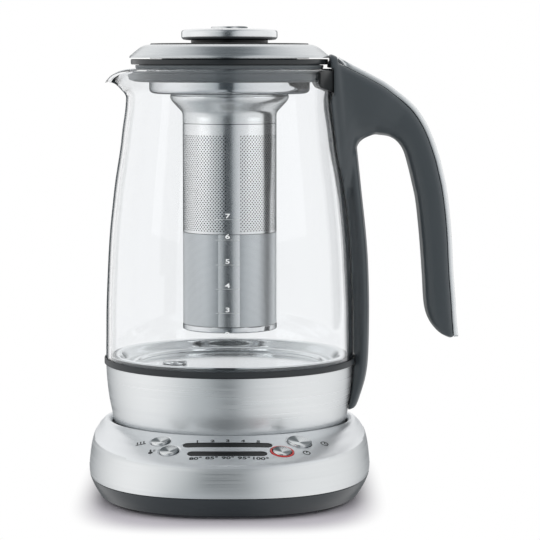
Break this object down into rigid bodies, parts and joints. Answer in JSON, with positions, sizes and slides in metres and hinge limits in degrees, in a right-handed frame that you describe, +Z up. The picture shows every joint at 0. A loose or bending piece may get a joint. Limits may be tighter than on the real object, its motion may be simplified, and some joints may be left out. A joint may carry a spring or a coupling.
{
  "type": "automatic tea maker",
  "caption": "Glass kettle with a lift-out steel tea basket under its lid, standing on a round-backed power base with a sloping button panel.",
  "frame": {"origin": "centre of the base's flat underside, on the jug's axis", "axes": "+Z up, -Y the front with the button panel, +X towards the handle"},
  "size_m": [0.2119, 0.1892, 0.2653],
  "materials": {
    "base_cover": "brushed",
    "base_housing": "satin dark grey",
    "base_plate": "satin dark grey",
    "base_tray": "satin dark grey",
    "base_foot_1": "matt black",
    "base_foot_2": "matt black",
    "base_foot_3": "matt black",
    "base_foot_4": "matt black",
    "base_screw_1": "polished steel",
    "base_screw_2": "polished steel",
    "cord_gland": "matt black",
    "power_connector_post": "satin black",
    "power_contact_sleeve": "plain",
    "power_contact_ring": "plain",
    "control_board": "circuit board",
    "tact_switch_1": "satin black",
    "tact_switch_2": "satin black",
    "tact_switch_3": "satin black",
    "tact_switch_4": "satin black",
    "start_light_ring": "red, lit from below",
    "time_window": "smoked gloss",
    "temperature_window": "smoked gloss",
    "light_guide": "milky white",
    "indicator_lights": "milky white",
    "connector_socket": "satin black",
    "glass_jug": "clear",
    "seal_ring": "matt black",
    "plate_gasket": "matt grey silicone",
    "heater_shell": "brushed",
    "heating_plate": "polished steel",
    "temperature_sensor": "polished steel",
    "heat_spreader": "plain",
    "heating_element": "plain",
    "thermostat": "satin black",
    "jug_bottom_cover": "satin dark grey",
    "bracket_ring": "polished steel",
    "jug_screw_1": "polished steel",
    "jug_screw_2": "polished steel",
    "handle_body": "satin dark grey",
    "handle_trim": "brushed",
    "handle_rim_clip": "satin black",
    "handle_screw": "polished steel",
    "lid_body": "satin dark grey",
    "lid_gasket": "matt grey silicone",
    "lid_trim_ring": "brushed",
    "cover_disc": "satin dark grey",
    "cover_seal": "matt grey silicone",
    "knob_neck": "satin black",
    "knob_disc": "brushed",
    "knob_cap": "polished steel",
    "knob_screw": "polished steel",
    "basket_drum": "polished steel",
    "basket_funnel": "polished steel",
    "basket_sieve": "polished steel",
    "basket_fine_mesh": "polished steel",
    "basket_base": "polished steel",
    "button_keep_warm": "polished steel",
    "button_temperature": "polished steel",
    "button_timer": "polished steel",
    "button_start": "polished steel"
  },
  "bodies": {
    "base": {"base_cover": "base_cover", "base_housing": "base_housing", "base_plate": "base_plate", "base_tray": "base_tray", "base_foot_1": "base_foot_1", "base_foot_2": "base_foot_2", "base_foot_3": "base_foot_3", "base_foot_4": "base_foot_4", "base_screw_1": "base_screw_1", "base_screw_2": "base_screw_2", "cord_gland": "cord_gland", "power_connector_post": "power_connector_post", "power_contact_sleeve": "power_contact_sleeve", "power_contact_ring": "power_contact_ring", "control_board": "control_board", "tact_switch_1": "tact_switch_1", "tact_switch_2": "tact_switch_2", "tact_switch_3": "tact_switch_3", "tact_switch_4": "tact_switch_4", "start_light_ring": "start_light_ring", "time_window": "time_window", "temperature_window": "temperature_window", "light_guide": "light_guide", "indicator_lights": "indicator_lights"},
    "jug_socket": {"connector_socket": "connector_socket"},
    "jug": {"glass_jug": "glass_jug", "seal_ring": "seal_ring", "plate_gasket": "plate_gasket", "heater_shell": "heater_shell", "heating_plate": "heating_plate", "temperature_sensor": "temperature_sensor", "heat_spreader": "heat_spreader", "heating_element": "heating_element", "thermostat": "thermostat", "jug_bottom_cover": "jug_bottom_cover", "bracket_ring": "bracket_ring", "jug_screw_1": "jug_screw_1", "jug_screw_2": "jug_screw_2", "handle_body": "handle_body", "handle_trim": "handle_trim", "handle_rim_clip": "handle_rim_clip", "handle_screw": "handle_screw"},
    "lid": {"lid_body": "lid_body", "lid_gasket": "lid_gasket", "lid_trim_ring": "lid_trim_ring"},
    "cover": {"cover_disc": "cover_disc", "cover_seal": "cover_seal", "knob_neck": "knob_neck", "knob_disc": "knob_disc", "knob_cap": "knob_cap", "knob_screw": "knob_screw"},
    "basket": {"basket_drum": "basket_drum", "basket_funnel": "basket_funnel", "basket_sieve": "basket_sieve", "basket_fine_mesh": "basket_fine_mesh", "basket_base": "basket_base"},
    "keep_warm_button": {"button_keep_warm": "button_keep_warm"},
    "temperature_button": {"button_temperature": "button_temperature"},
    "timer_button": {"button_timer": "button_timer"},
    "start_button": {"button_start": "button_start"}
  },
  "joints": [
    {"name": "jug_lift", "type": "slide", "parent": "base", "child": "jug_socket", "axis": [0, 0, 1], "range_m": [0, 0.15]},
    {"name": "jug_swivel", "type": "hinge", "parent": "jug_socket", "child": "jug", "pos_m": [0, 0, 0.05], "axis": [0, 0, 1], "continuous": true},
    {"name": "lid_lift", "type": "slide", "parent": "jug", "child": "lid", "axis": [0, 0, 1], "range_m": [0, 0.16]},
    {"name": "cover_lift", "type": "slide", "parent": "lid", "child": "cover", "axis": [0, 0, 1], "range_m": [0, 0.05]},
    {"name": "basket_twist", "type": "hinge", "parent": "lid", "child": "basket", "pos_m": [0, 0, 0.232], "axis": [0, 0, 1], "range_deg": [0, 30]},
    {"name": "keep_warm_press", "type": "slide", "parent": "base", "child": "keep_warm_button", "axis": [0.1125, 0.235, -0.9655], "range_m": [0, 0.0006], "stiffness_N_per_m": 200},
    {"name": "temperature_press", "type": "slide", "parent": "base", "child": "temperature_button", "axis": [0.1032, 0.28, -0.9544], "range_m": [0, 0.0006], "stiffness_N_per_m": 200},
    {"name": "timer_press", "type": "slide", "parent": "base", "child": "timer_button", "axis": [-0.1238, 0.2425, -0.9622], "range_m": [0, 0.0006], "stiffness_N_per_m": 200},
    {"name": "start_press", "type": "slide", "parent": "base", "child": "start_button", "axis": [-0.0939, 0.2812, -0.955], "range_m": [0, 0.0006], "stiffness_N_per_m": 200}
  ]
}
